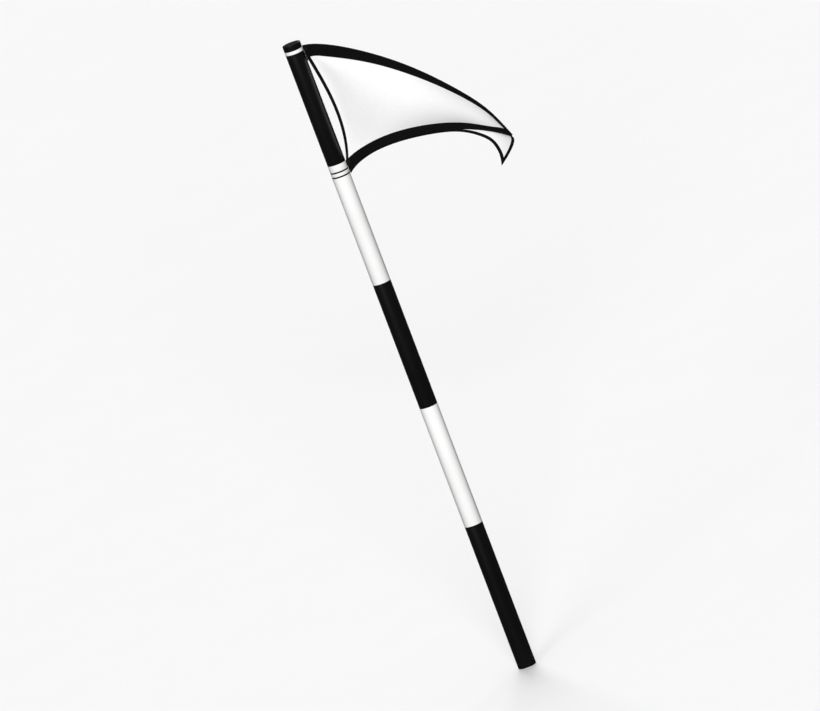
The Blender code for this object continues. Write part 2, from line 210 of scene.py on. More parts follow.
def blend_colours(tree, fac, dark, light):
    mix = add_node(tree, "ShaderNodeMix", data_type="RGBA")
    tree.links.new(fac, mix.inputs["Factor"])
    mix.inputs["A"].default_value = (*dark, 1.0)
    mix.inputs["B"].default_value = (*light, 1.0)
    return mix.outputs["Result"]


def bumps(tree, shader, layers):
    """Chained bumps from (height, distance in metres, strength)."""
    normal = None
    for height, distance, strength in layers:
        inputs = {"Height": height, "Distance": distance, "Strength": strength}
        if normal is not None:
            inputs["Normal"] = normal
        normal = add_node(tree, "ShaderNodeBump", inputs).outputs["Normal"]
    tree.links.new(normal, shader.inputs["Normal"])


def gelcoat(name, dark, light, rough_low, rough_high, specular):
    """Glass fibre under gelcoat: faint ripple, fibre print along the tube, fine scuffs."""
    material, tree, shader = start_material(
        name, rough_low, Specular_IOR_Level=specular, Coat_Weight=0.1, Coat_Roughness=0.2,
    )
    clouds = noise(tree, (14, 14, 5), 4.0)
    tree.links.new(
        blend_colours(tree, remap(tree, clouds, 0, 1), dark, light), shader.inputs["Base Color"]
    )
    ripple = noise(tree, (260, 260, 260), 2.0)
    fibres = noise(tree, (2200, 2200, 60), 2.0)
    scuffs = noise(tree, (900, 900, 35), 5.0, rough=0.7)
    tree.links.new(
        remap(tree, scuffs, rough_low, rough_high, 0.45, 0.72), shader.inputs["Roughness"]
    )
    bumps(tree, shader, [
        (ripple, 0.05 * MM, 0.5),
        (fibres, 0.02 * MM, 0.35),
        (scuffs, 0.015 * MM, 0.4),
    ])
    return material


def rubber(name):
    material, tree, shader = start_material(name, 0.75, Specular_IOR_Level=0.25)
    grain = noise(tree, (1400, 1400, 1400), 4.0)
    dust = noise(tree, (60, 60, 60), 4.0)
    tree.links.new(
        blend_colours(tree, remap(tree, dust, 0, 1, 0.4, 0.8), (0.002,) * 3, (0.007,) * 3),
        shader.inputs["Base Color"],
    )
    tree.links.new(remap(tree, grain, 0.65, 0.85), shader.inputs["Roughness"])
    bumps(tree, shader, [(grain, 0.08 * MM, 0.5)])
    return material


def moulded(name, dark, light, rough, specular=0.35):
    """Spark-eroded texture of a moulded plastic piece."""
    material, tree, shader = start_material(name, rough, Specular_IOR_Level=specular)
    grain = noise(tree, (2600, 2600, 2600), 2.0)
    flow = noise(tree, (40, 40, 40), 3.0)
    tree.links.new(
        blend_colours(tree, remap(tree, flow, 0, 1), dark, light), shader.inputs["Base Color"]
    )
    tree.links.new(remap(tree, grain, rough - 0.06, rough + 0.08), shader.inputs["Roughness"])
    bumps(tree, shader, [(grain, 0.04 * MM, 0.45)])
    return material


def turned_metal(name, dark, light, rough):
    """Metal with the fine rings of a lathe tool round its axis."""
    material, tree, shader = start_material(name, rough, metallic=0.85)
    rings = noise(tree, (8, 8, 5200), 2.0)
    stain = noise(tree, (70, 70, 70), 4.0)
    tree.links.new(
        blend_colours(tree, remap(tree, stain, 0, 1), dark, light), shader.inputs["Base Color"]
    )
    tree.links.new(remap(tree, rings, rough - 0.07, rough + 0.1), shader.inputs["Roughness"])
    bumps(tree, shader, [(rings, 0.015 * MM, 0.4)])
    return material


def coated_steel(name):
    material, tree, shader = start_material(
        name, 0.42, metallic=0.4, Specular_IOR_Level=0.35,
    )
    wear = noise(tree, (500, 500, 500), 4.0)
    tree.links.new(
        blend_colours(tree, remap(tree, wear, 0, 1, 0.55, 0.85), (0.006,) * 3, (0.03,) * 3),
        shader.inputs["Base Color"],
    )
    tree.links.new(remap(tree, wear, 0.36, 0.52), shader.inputs["Roughness"])
    bumps(tree, shader, [(wear, 0.04 * MM, 0.5)])
    return material


def woven(name, dark, light, pitch, rough, sheen, specular):
    """Plain weave from the UV map, whose units are metres, with slubs in both directions."""
    material, tree, shader = start_material(
        name, rough, Specular_IOR_Level=specular, Sheen_Weight=sheen, Sheen_Roughness=0.45,
    )
    uv = add_node(tree, "ShaderNodeTexCoord").outputs["UV"]
    split = add_node(tree, "ShaderNodeSeparateXYZ", {"Vector": uv})
    waves = [
        math_node(tree, "SINE", math_node(tree, "MULTIPLY", split.outputs[axis], pi / pitch))
        for axis in (0, 1)
    ]
    weave = math_node(tree, "MULTIPLY", *waves)
    weft = noise(tree, (40, 2400, 1), 2.0, "UV")
    warp = noise(tree, (2400, 40, 1), 2.0, "UV")
    slubs = math_node(tree, "ADD", weft, warp)
    shade = math_node(tree, "ADD", math_node(tree, "MULTIPLY", weave, 0.12), slubs)
    tree.links.new(
        blend_colours(tree, remap(tree, shade, 0, 1, 0.75, 1.25), dark, light),
        shader.inputs["Base Color"],
    )
    tree.links.new(
        remap(tree, slubs, rough - 0.06, rough + 0.06, 0.8, 1.2), shader.inputs["Roughness"]
    )
    creases = noise(tree, (26, 26, 26), 4.0, rough=0.6)
    bumps(tree, shader, [
        (creases, 1.2 * MM, 0.22),
        (slubs, 0.05 * MM, 0.5),
        (weave, 0.06 * MM, 0.6),
    ])
    return material


def make_materials():
    return {
        "black_gelcoat": gelcoat(
            "black_gelcoat", (0.002,) * 3, (0.004, 0.004, 0.0043), 0.34, 0.48, 0.4
        ),
        "white_gelcoat": gelcoat(
            "white_gelcoat", (0.84, 0.84, 0.83), (0.90, 0.90, 0.895), 0.24, 0.4, 0.45
        ),
        "black_rubber": rubber("black_rubber"),
        "black_nylon": moulded("black_nylon", (0.002,) * 3, (0.006,) * 3, 0.5, 0.25),
        "natural_nylon": moulded("natural_nylon", (0.72, 0.70, 0.64), (0.82, 0.80, 0.76), 0.45),
        "black_oxide": coated_steel("black_oxide"),
        "aluminium": turned_metal("aluminium", (0.70, 0.71, 0.72), (0.82, 0.83, 0.84), 0.38),
        "brass": turned_metal("brass", (0.62, 0.45, 0.20), (0.78, 0.60, 0.32), 0.36),
        "flag_cloth": woven(
            "flag_cloth", (0.775, 0.775, 0.775), (0.865, 0.865, 0.86), 0.45 * MM, 0.75, 0.12, 0.25
        ),
        "black_cloth": woven(
            "black_cloth", (0.002,) * 3, (0.006,) * 3, 0.6 * MM, 0.8, 0.015, 0.1
        ),
        "thread": moulded("sewing_thread", (0.004,) * 3, (0.012,) * 3, 0.6, 0.25),
    }


# ------------------------------------------------------------ mesh building


def mesh_object(name, points, faces, uvs=None, sharp=CREASE):
    """A smooth-shaded object; uvs holds one (u, v) for each corner of each face."""
    mesh = bpy.data.meshes.new(name)
    mesh.from_pydata([tuple(p) for p in points], [], faces)
    if uvs is not None:
        layer = mesh.uv_layers.new(name="UVMap")
        layer.data.foreach_set("uv", np.array(uvs, np.float32).ravel())
    bm = bmesh.new()
    bm.from_mesh(mesh)
    bmesh.ops.recalc_face_normals(bm, faces=bm.faces)
    bm.to_mesh(mesh)
    bm.free()
    mesh.shade_smooth()
    mesh.set_sharp_from_angle(angle=sharp)
    obj = bpy.data.objects.new(name, mesh)
    bpy.context.scene.collection.objects.link(obj)
    return obj


def dress(obj, body, slot, nodes=(), material=None):
    """Give a piece its material and slot, the body it rides on and the nodes it stands for."""
    obj.data.materials.append(MATERIALS[material or slot])
    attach(obj, body)
    if nodes:
        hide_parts(*nodes)
    return obj


def eased(profile, radius=EDGE, steps=3, closed=True):
    """Round a turned profile's corners. The ends of an open profile stay where they are."""
    result = []
    count = len(profile)
    for i, point in enumerate(profile):
        here = Vector(point)
        if not closed and i in (0, count - 1):
            result.append(tuple(here))
            continue
        back = Vector(profile[i - 1]) - here
        ahead = Vector(profile[(i + 1) % count]) - here
        turn = back.angle(ahead)
        reach = min(radius, back.length * 0.45, ahead.length * 0.45)
        if turn > radians(160):
            result.append(tuple(here))
            continue
        start = here + back.normalized() * reach
        end = here + ahead.normalized() * reach
        for k in range(steps + 1):
            t = k / steps
            result.append(tuple(start.lerp(here, t).lerp(here.lerp(end, t), t)))
    return result


def turned(name, profile, closed=True, steps=ROUND_STEPS, relief=None, axis="Z", centre=None):
    """Turn (radius, height) points about an axis; relief(radius, height, angle) moves them out."""
    offset = Vector(centre or (0.0, 0.0, 0.0))
    rings = []
    points = []
    for r, h in profile:
        single = r < 1e-9
        ring = []
        for k in range(1 if single else steps):
            angle = 2 * pi * k / steps
            reach = r + (relief(r, h, angle) if relief else 0.0)
            ring.append(len(points))
            x, y = reach * cos(angle), reach * sin(angle)
            local = Vector((x, y, h)) if axis == "Z" else Vector((x, h, y))
            points.append(local + offset)
        rings.append(ring)
    lengths = [0.0]
    for a, b in zip(profile, profile[1:] + profile[:1]):
        lengths.append(lengths[-1] + (Vector(b) - Vector(a)).length)
    mean = max(r for r, _ in profile)
    faces, uvs = [], []
    pairs = len(profile) if closed else len(profile) - 1
    for i in range(pairs):
        low, high = rings[i], rings[(i + 1) % len(profile)]
        for k in range(steps):
            u0, u1 = 2 * pi * k / steps * mean, 2 * pi * (k + 1) / steps * mean
            v0, v1 = lengths[i], lengths[i + 1]
            following = (k + 1) % steps
            corners = [
                (low[k % len(low)], u0, v0), (low[following % len(low)], u1, v0),
                (high[following % len(high)], u1, v1), (high[k % len(high)], u0, v1),
            ]
            kept = [c for j, c in enumerate(corners) if c[0] != corners[j - 1][0]]
            faces.append([c[0] for c in kept])
            uvs += [(c[1], c[2]) for c in kept]
    return mesh_object(name, points, faces, uvs)


def ring_profile(inner, outer, low, high):
    return [(inner, low), (outer, low), (outer, high), (inner, high)]


def wall(radius, start, end, pitch):
    """The rows of a threaded wall, from one height to another."""
    rows = max(2, int(abs(end - start) / pitch * ROWS_PER_TURN))
    return [(radius, start + (end - start) * k / rows) for k in range(rows + 1)]


def thread(radius, depth, low, high, pitch, fade_low, fade_high):
    """A right-handed trapezoidal thread that stands depth proud of radius."""

    def relief(r, h, angle):
        if abs(r - radius) > 1e-7 or not low <= h <= high:
            return 0.0
        phase = h / pitch - angle / (2 * pi)
        shape = min(1.0, max(0.0, 0.5 + THREAD_FLANK * cos(2 * pi * phase)))
        start = min(1.0, (h - low) / fade_low) if fade_low else 1.0
        end = min(1.0, (high - h) / fade_high) if fade_high else 1.0
        return depth * shape * start * end

    return relief


def outline_slab(name, outline, y_low, y_high, bevel):
    """An (x, z) outline made solid along Y, with eased edges."""
    bm = bmesh.new()
    face = bm.faces.new([bm.verts.new((x, y_low, z)) for x, z in outline])
    grown = bmesh.ops.extrude_face_region(bm, geom=[face])
    moved = [v for v in grown["geom"] if isinstance(v, bmesh.types.BMVert)]
    bmesh.ops.translate(bm, verts=moved, vec=(0.0, y_high - y_low, 0.0))
    bmesh.ops.recalc_face_normals(bm, faces=bm.faces)
    rims = [e for e in bm.edges if abs(e.verts[0].co.y - e.verts[1].co.y) < 1e-9]
    bmesh.ops.bevel(bm, geom=rims, offset=bevel, segments=2, profile=0.5, affect="EDGES")
    mesh = bpy.data.meshes.new(name)
    bm.to_mesh(mesh)
    bm.free()
    mesh.shade_smooth()
    mesh.set_sharp_from_angle(angle=CREASE)
    obj = bpy.data.objects.new(name, mesh)
    bpy.context.scene.collection.objects.link(obj)
    return obj


def rounded_outline(corners, radius, steps=6):
    """(x, z, rounded?) corners, with a quarter arc on each rounded one."""
    outline = []
    for i, (x, z, is_round) in enumerate(corners):
        here = Vector((x, z))
        if not is_round:
            outline.append(tuple(here))
            continue
        back = (Vector(corners[i - 1][:2]) - here).normalized() * radius
        ahead = (Vector(corners[(i + 1) % len(corners)][:2]) - here).normalized() * radius
        for k in range(steps + 1):
            a = pi / 2 * k / steps
            outline.append(tuple(here + back * (1 - sin(a)) + ahead * (1 - cos(a))))
    return outline


# --------------------------------------------------------------- the pole


def spans(node):
    """A round node's outer radius, and its lowest and highest heights."""
    low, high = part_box(node)
    return (high.y - low.y) / 2, low.z, high.z


def plain_ring(node, inner, body, slot, edge=EDGE):
    """A ring on the pole's axis that keeps its node's outside and gets eased edges."""
    outer, low, high = spans(node)
    profile = eased(ring_profile(inner, outer, low, high), edge)
    return dress(turned(node + "_fine", profile), body, slot, [node])


def make_foot():
    """The rubber foot: a spigot in the tube, and a shallow groove round its underside."""
    outer, low, high = spans("base_foot")
    flange_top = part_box("base_tube")[0].z - SEAT_GAP
    groove, depth = 17.0 * MM, 0.8 * MM
    profile = [
        (0.0, low), (groove, low), (groove + depth, low + depth),
        (groove + 1.8 * MM, low + depth), (groove + 2.6 * MM, low),
        (outer - 2.4 * MM, low), (outer - 0.7 * MM, low + 0.7 * MM), (outer, low + 2.4 * MM),
        (outer, flange_top), (SPIGOT, flange_top), (SPIGOT, high), (0.0, high),
    ]
    foot = turned("base_foot_fine", eased(profile, EDGE, closed=False), closed=False)
    dress(foot, "base_section", "black_rubber", ["base_foot"])


def make_tube(node, body, slot):
    plain_ring(node, POLE_BORE, body, slot, TUBE_EDGE)


def make_socket(node, body):
    """A blind socket with a female thread that the section above screws into."""
    outer, low, high = spans(node)
    floor = low + 5.0 * MM
    start = floor + 2.0 * MM
    flare = 2.6 * MM
    mouth = high - flare
    core = STUD_ROOT + THREAD_CLEARANCE
    profile = [
        (0.0, low), (outer, low), (outer, high), (core + flare, high),
        *wall(core, mouth, start, SECTION_PITCH),
        (core, floor), (0.0, floor),
    ]
    relief = thread(core, STUD_THREAD, start, mouth, SECTION_PITCH, 3 * MM, 0.0)
    turn_threaded(node, profile, relief, body, "aluminium", closed=False)


def turn_threaded(node, profile, relief, body, slot, closed):
    piece = turned(node + "_threaded", profile, closed, THREAD_STEPS, relief)
    dress(piece, body, slot, [node])


def stud_wall(tip, shoulder):
    """A stud's outside from its tip up to its shoulder, and its thread's relief."""
    run_out = 4.0 * MM
    chamfer = 1.2 * MM
    fade = 2.5 * MM
    start, end = tip + chamfer, shoulder - run_out
    rows = [
        (0.0, tip), (STUD_ROOT - chamfer, tip),
        *wall(STUD_ROOT, start, end, SECTION_PITCH),
        (STUD_ROOT, shoulder),
    ]
    return rows, thread(STUD_ROOT, STUD_THREAD, start, end, SECTION_PITCH, fade, fade)


def make_stud(node, body):
    """A hollow plug with a threaded stud below it."""
    outer, tip, top = spans(node)
    shoulder = top - PLUG_LENGTH
    rows, relief = stud_wall(tip, shoulder)
    floor = shoulder + PLUG_FLOOR
    profile = rows + [
        (outer, shoulder), (outer, top), (STUD_BORE, top), (STUD_BORE, floor), (0.0, floor),
    ]
    turn_threaded(node, profile, relief, body, "aluminium", closed=False)


def make_head_stud():
    outer, tip, top = spans("head_stud")
    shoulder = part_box("head_flange")[0].z
    rows, relief = stud_wall(tip, shoulder)
    bevel = 1.0 * MM
    profile = rows + [(outer, shoulder), (outer, top - bevel), (outer - bevel, top), (0.0, top)]
    turn_threaded("head_stud", profile, relief, "head", "aluminium", closed=False)


def make_cap_stud():
    """The plug in the spindle's top with the stud that the cap screws onto."""
    outer, low, top = spans("cap_stud")
    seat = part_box("spindle")[1].z + SEAT_GAP
    flange_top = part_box("upper_flag_ring")[1].z - SEAT_GAP
    plug = outer - 2.3 * MM
    root = CAP_STUD_CREST - CAP_THREAD
    bevel = 1.0 * MM
    fade = 1.5 * MM
    start, end = flange_top + bevel, top - bevel
    profile = [
        (0.0, low), (plug - bevel, low), (plug, low + bevel), (plug, seat), (outer, seat),
        (outer, flange_top), (root, flange_top), *wall(root, start, end, CAP_PITCH),
        (root - bevel, top), (0.0, top),
    ]
    relief = thread(root, CAP_THREAD, start, end, CAP_PITCH, fade, fade)
    turn_threaded("cap_stud", profile, relief, "head", "brass", closed=False)


def make_cap():
    """The crowned cap with a rounded shoulder."""
    outer, low, high = spans("top_cap")
    pocket, ceiling = 14.6 * MM, high - 3.6 * MM
    shoulder = 2.2 * MM
    crown = 0.5 * MM
    lip = 0.5 * MM
    rim = 0.4 * MM
    arc = []
    for k in range(9):
        a = pi / 2 * k / 8
        arc.append((outer - shoulder * (1 - cos(a)), high - crown - shoulder * (1 - sin(a))))
    dome = []
    edge = outer - shoulder
    for k in range(1, 10):
        r = edge * (1 - k / 10)
        dome.append((r, high - crown * (r / edge) ** 2))
    profile = [(0.0, ceiling), (pocket, ceiling), (pocket, low + lip), (pocket + lip, low)]
    profile += [(outer - rim, low), (outer, low + rim)]
    profile += arc + dome + [(0.0, high)]
    dress(turned("top_cap_fine", profile, closed=False), "cap", "black_gelcoat", ["top_cap"])


def make_cap_insert():
    outer, low, high = spans("cap_insert")
    core = CAP_STUD_CREST - CAP_THREAD + THREAD_CLEARANCE
    bevel = 0.5 * MM
    start, end = low + bevel, high - bevel
    profile = [
        (outer, low), (outer, high), (core + bevel, high), *wall(core, end, start, CAP_PITCH),
        (core + 2 * bevel, low),
    ]
    relief = thread(core, CAP_THREAD, start, end, CAP_PITCH, 0.0, 0.0)
    turn_threaded("cap_insert", profile, relief, "cap", "brass", closed=True)


def make_lug(node, is_upper):
    """A ring's flat lug, standing out towards the flag from the pole's surface."""
    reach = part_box(node)[1].x
    root = 20.0 * MM
    if is_upper:
        bottom, top = 1788.0 * MM, 1809.0 * MM
        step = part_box("flag_tube")[1].z + 1.5 * MM
        clear = POLE_RADIUS + 0.9 * MM
        corners = [(root, step, False), (clear, step, False), (clear, bottom, False)]
    else:
        bottom, top = 1460.5 * MM, 1476.0 * MM
        corners = [(root, bottom, False)]
    corners += [(reach, bottom, True), (reach, top, True), (root, top, False)]
    outline = rounded_outline(corners, LUG_ROUND)
    lug = outline_slab(node + "_lug", outline, -LUG_HALF, LUG_HALF, LUG_EDGE)
    dress(lug, "flag_swivel", "black_nylon")


def make_patches():
    """Webbing patches sewn to the front and back of both corners, and their seam lines."""
    outlines = {
        "upper": [(25.55, 1767), (29, 1776), (45, 1779), (45, 1809), (25.55, 1812)],
        "lower": [(25.9, 1443), (45, 1455.5), (45, 1481), (25.9, 1475)],
    }
    faces = {"front": (-4.7, -3.7), "back": (-2.3, -1.55)}
    patches, seams = [], []
    for side, corners in outlines.items():
        corners = [Vector(corner) * MM for corner in corners]
        middle = sum(corners, Vector((0.0, 0.0))) / len(corners)
        inset = [c + (middle - c).normalized() * PATCH_SEAM for c in corners]
        for face, (y_low, y_high) in faces.items():
            name = f"{side}_{face}_patch"
            outline = [tuple(c) for c in corners]
            patch = outline_slab(name, outline, y_low * MM, y_high * MM, PATCH_BEVEL)
            patches.append(dress(patch, "flag_swivel", "black_cloth"))
        out = np.array((0.0, -1.0, 0.0))
        y = faces["front"][0] * MM
        for a, b in zip(inset, inset[1:] + inset[:1]):
            line = np.array([(a.x, y, a.y), (b.x, y, b.y)])
            seams.append((line, np.array([out, out])))
    return patches, seams


def make_flag_rings():
    """The collar and the ring that hold the flag tube, each with a spigot inside it."""
    tube_low, tube_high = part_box("flag_tube")[0].z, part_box("flag_tube")[1].z
    low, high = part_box("lower_flag_collar")[0].z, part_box("lower_flag_collar")[1].z
    shoulder = tube_low - SEAT_GAP
    collar = [
        (SWIVEL_BORE, low), (POLE_RADIUS, low), (POLE_RADIUS, shoulder), (SPIGOT, shoulder),
        (SPIGOT, high), (SWIVEL_BORE, high),
    ]
    low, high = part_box("upper_flag_ring")[0].z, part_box("upper_flag_ring")[1].z
    shoulder = tube_high + SEAT_GAP
    ring = [
        (SWIVEL_BORE, high), (SWIVEL_BORE, low), (SPIGOT, low), (SPIGOT, shoulder),
        (POLE_RADIUS, shoulder), (POLE_RADIUS, high),
    ]
    for node, profile in (("lower_flag_collar", collar), ("upper_flag_ring", ring)):
        piece = turned(node + "_ring", eased(profile, RING_EDGE))
        dress(piece, "flag_swivel", "white_gelcoat", [node])
        make_lug(node, node == "upper_flag_ring")


def make_pole():
    make_foot()
    make_tube("base_tube", "base_section", "black_gelcoat")
    make_socket("base_socket", "base_section")
    sections = (
        ("lower_white", "white_gelcoat"), ("middle_black", "black_gelcoat"),
        ("upper_white", "white_gelcoat"),
    )
    for name, slot in sections:
        body = name + "_section"
        make_tube(name + "_tube", body, slot)
        make_stud(name + "_stud", body)
        make_socket(name + "_socket", body)
    for k in range(1, 5):
        plain_ring(f"joint_washer_{k}", 13.2 * MM, f"washer_{k}", "black_rubber", WASHER_EDGE)
    make_head_stud()
    plain_ring("head_flange", 14.0 * MM, "head", "white_gelcoat")
    plain_ring("thrust_washer", SWIVEL_BORE, "head", "black_nylon", WASHER_EDGE)
    plain_ring("spindle", 14.0 * MM, "head", "aluminium", FINE_EDGE)
    make_cap_stud()
    make_flag_rings()
    make_tube("flag_tube", "flag_swivel", "black_gelcoat")
    for node in ("lower_bush", "upper_bush"):
        plain_ring(node, BUSH_BORE, "flag_swivel", "natural_nylon")
    plain_ring("cap_washer", 10.4 * MM, "cap_seal", "black_rubber", WASHER_EDGE)
    make_cap()
    make_cap_insert()


# --------------------------------------------------------------- the flag

# Guides across the flag, each from the pole to the free end, in millimetres.
GUIDES_MM = {
    "top_edge": [
        (26.6, -3, 1814), (42, -3, 1811), (67, -8, 1803.5), (162, -34, 1754),
        (270, -58, 1672.5), (378, -52, 1556.5), (432, -36, 1477), (471, -15, 1383.5),
    ],
    "top_border": [
        (27, -3, 1777), (43, -3, 1776), (67, -8, 1767.5), (162, -34, 1720),
        (270, -58, 1643.5), (378, -52, 1536), (432, -36, 1459), (456.5, -20, 1403.5),
        (466.5, -16, 1381),
    ],
    # The band is black cloth along the foot of the panel. Towards the free end it runs along the
    # fold over the flap, and there its black is painted shade of that fold.
    "band_top": [
        (27.0, -3, 1477), (43, -3, 1484), (67, -10, 1493), (162, -48, 1511),
        (270, -66, 1500), (378, -52, 1459), (432, -36, 1425), (458, -20, 1404),
        (467.5, -16, 1383.5),
    ],
    "band_bottom": [
        (26.6, -3, 1448), (43, -3, 1460), (67, -10, 1471), (162, -50, 1490),
        (270, -68, 1481), (378, -52, 1440), (432, -36, 1408), (469.5, -15, 1376.5),
    ],
    "bottom_edge": [
        (26.6, -3, 1439), (43, -3, 1450.5), (67, -10, 1462.5), (162, -50, 1482),
        (270, -68, 1472), (351, -62, 1445), (391, -58, 1416), (409.5, -57, 1394),
        (416.8, -58, 1373), (418.8, -60, 1353), (413.7, -64, 1323.5),
    ],
}


def guide_curve(points):
    """A natural cubic spline through a guide's points, with a point for each column."""
    points = np.array(points, dtype=float) * MM
    chords = np.linalg.norm(np.diff(points, axis=0), axis=1)
    fractions = column_fractions(chords.sum())
    knots = np.concatenate([[0.0], np.cumsum(chords)]) / chords.sum()
    gaps = np.diff(knots)
    count = len(points)
    matrix = np.eye(count)
    slopes = np.diff(points, axis=0) / gaps[:, None]
    right = np.zeros_like(points)
    for i in range(1, count - 1):
        matrix[i, i - 1 : i + 2] = gaps[i - 1], 2 * (gaps[i - 1] + gaps[i]), gaps[i]
        right[i] = 6 * (slopes[i] - slopes[i - 1])
    bend = np.linalg.solve(matrix, right)
    places = []
    for t in fractions:
        i = min(int(np.searchsorted(knots, t, side="right")) - 1, count - 2)
        h = gaps[i]
        a, b = (knots[i + 1] - t) / h, (t - knots[i]) / h
        sag = ((a**3 - a) * bend[i] + (b**3 - b) * bend[i + 1]) * h * h / 6
        places.append(a * points[i] + b * points[i + 1] + sag)
    return np.array(places)


def column_fractions(length):
    """Column places along a row, with narrow columns in the binding at each end."""
    start, end = HOIST_BINDING / length, 1 - TIP_BINDING / length
    inner = np.linspace(start, end, COLUMNS + 1 - 2 * MARGIN)
    hoist = np.linspace(0, start, MARGIN + 1)[:-1]
    fly = np.linspace(end, 1, MARGIN + 1)[1:]
    return np.concatenate([hoist, inner, fly])


def binding_share(bottom, across):
    """The share of the flap's depth that its binding takes, which is all of it near the pole."""
    heading = np.gradient(bottom, axis=0)
    heading /= np.linalg.norm(heading, axis=1)[:, None]
    depth = np.linalg.norm(across - heading * (across * heading).sum(1)[:, None], axis=1)
    return np.clip(BINDING / np.maximum(depth - BINDING_MERGE, 1e-6), 0, 1)[:, None]


def arch(q):
    """A rise of one halfway between two guides."""
    return 4 * q * (1 - q)


def flag_grid():
    """The cloth's middle surface as a grid of points, and the rows where each part starts."""
    a = column_fractions(FLAG_LENGTH)
    guide = {name: guide_curve(points) for name, points in GUIDES_MM.items()}
    bottom, band_low = guide["bottom_edge"], guide["band_bottom"]
    border, top_edge = guide["top_border"], guide["top_edge"]
    swing = np.clip((a - FLAP_START) / (1 - FLAP_START), 0, 1)[:, None] ** 2
    first_slope = 4 * FLAP_BULGE * swing
    share = binding_share(bottom, band_low - bottom + first_slope)
    inside = np.maximum(a - a[MARGIN], 0)
    hold = np.clip(1 - inside / HOIST_REACH, 0, 1) ** 2
    wave = np.sin(pi * np.minimum(a / BILLOW_END, 1))

    def between(start, end, q):
        return start * (1 - q) + end * q

    def flap(q):
        return between(bottom, band_low, q) + FLAP_BULGE * arch(q) * swing

    def band(q):
        return between(band_low, guide["band_top"], q)

    def panel(q):
        row = between(guide["band_top"], border, q)
        row[:, 0] += HOIST_BOW * (1 - HOIST_LEAN * q) * arch(q) * hold
        row[:, 1] -= BILLOW * arch(q) * wave
        return row

    def top(q):
        return between(border, top_edge, q)

    parts = (
        ("binding", BINDING_ROWS, lambda q: flap(share * q)),
        ("flap", FLAP_ROWS, lambda q: flap(share + (1 - share) * q)),
        ("band", BAND_ROWS, band),
        ("panel", PANEL_ROWS, panel),
        ("top", TOP_ROWS, top),
    )
    rows, marks = [], {}
    for name, count, row_at in parts:
        marks[name] = len(rows)
        rows += [row_at(k / count) for k in range(count)]
    marks["end"] = len(rows)
    grid = np.array(rows + [top_edge])
    return grid + folds(grid), marks


def folds(points):
    """Soft folds that fan out from the two held corners, and a ripple along the flag."""
    shift = np.zeros_like(points)
    for (x, z), count, height, phase in FANS:
        dx, dz = points[..., 0] - x, points[..., 2] - z
        far = np.hypot(dx, dz)
        fan = np.sin(count * np.arctan2(dz, dx) + phase)
        grow = np.clip((far - FAN_START) / FAN_RISE, 0, 1) * np.exp(-far / FAN_FADE)
        shift[..., 1] += height * fan * grow
    along = points[..., 0]
    ripple = np.sin(along / RIPPLE_LENGTH + points[..., 2] / RIPPLE_LEAN)
    shift[..., 1] += RIPPLE * ripple * np.clip((along - RIPPLE_START) / RIPPLE_RISE, 0, 1)
    return shift


def grid_normals(grid):
    across = np.gradient(grid, axis=1)
    up = np.gradient(grid, axis=0)
    normal = np.cross(across, up)
    length = np.linalg.norm(normal, axis=2, keepdims=True)
    return normal / np.maximum(length, 1e-12)


def grid_lengths(grid):
    """UV coordinates in metres: along each row and up each column."""
    along = np.linalg.norm(np.diff(grid, axis=1), axis=2)
    up = np.linalg.norm(np.diff(grid, axis=0), axis=2)
    u = np.concatenate([np.zeros((len(grid), 1)), np.cumsum(along, axis=1)], axis=1)
    v = np.concatenate([np.zeros((1, grid.shape[1])), np.cumsum(up, axis=0)], axis=0)
    return np.stack([u, v], axis=2)


def sheet_piece(name, grid, normals, uv, rows, columns, half):
    """The part of the grid between two rows and two columns, made half thick to each side."""
    j0, j1 = rows
    i0, i1 = columns
    part = grid[j0 : j1 + 1, i0 : i1 + 1]
    lift = normals[j0 : j1 + 1, i0 : i1 + 1] * half
    coords = uv[j0 : j1 + 1, i0 : i1 + 1]
    height, width = part.shape[:2]
    count = height * width
    points = np.concatenate([(part + lift).reshape(-1, 3), (part - lift).reshape(-1, 3)])
    flat_uv = np.concatenate([coords.reshape(-1, 2)] * 2)

    def at(j, i, layer=0):
        return layer * count + j * width + i

    faces = []
    for j in range(height - 1):
        for i in range(width - 1):
            quad = [(j, i), (j, i + 1), (j + 1, i + 1), (j + 1, i)]
            faces.append([at(*c) for c in quad])
            faces.append([at(*c, 1) for c in reversed(quad)])
    border = [(0, i) for i in range(width)] + [(j, width - 1) for j in range(1, height)]
    border += [(height - 1, i) for i in range(width - 2, -1, -1)]
    border += [(j, 0) for j in range(height - 2, 0, -1)]
    for first, second in zip(border, border[1:] + border[:1]):
        faces.append([at(*first), at(*first, 1), at(*second, 1), at(*second)])
    uvs = [flat_uv[k] for face in faces for k in face]
    return mesh_object(name, points, faces, uvs, sharp=CLOTH_CREASE)


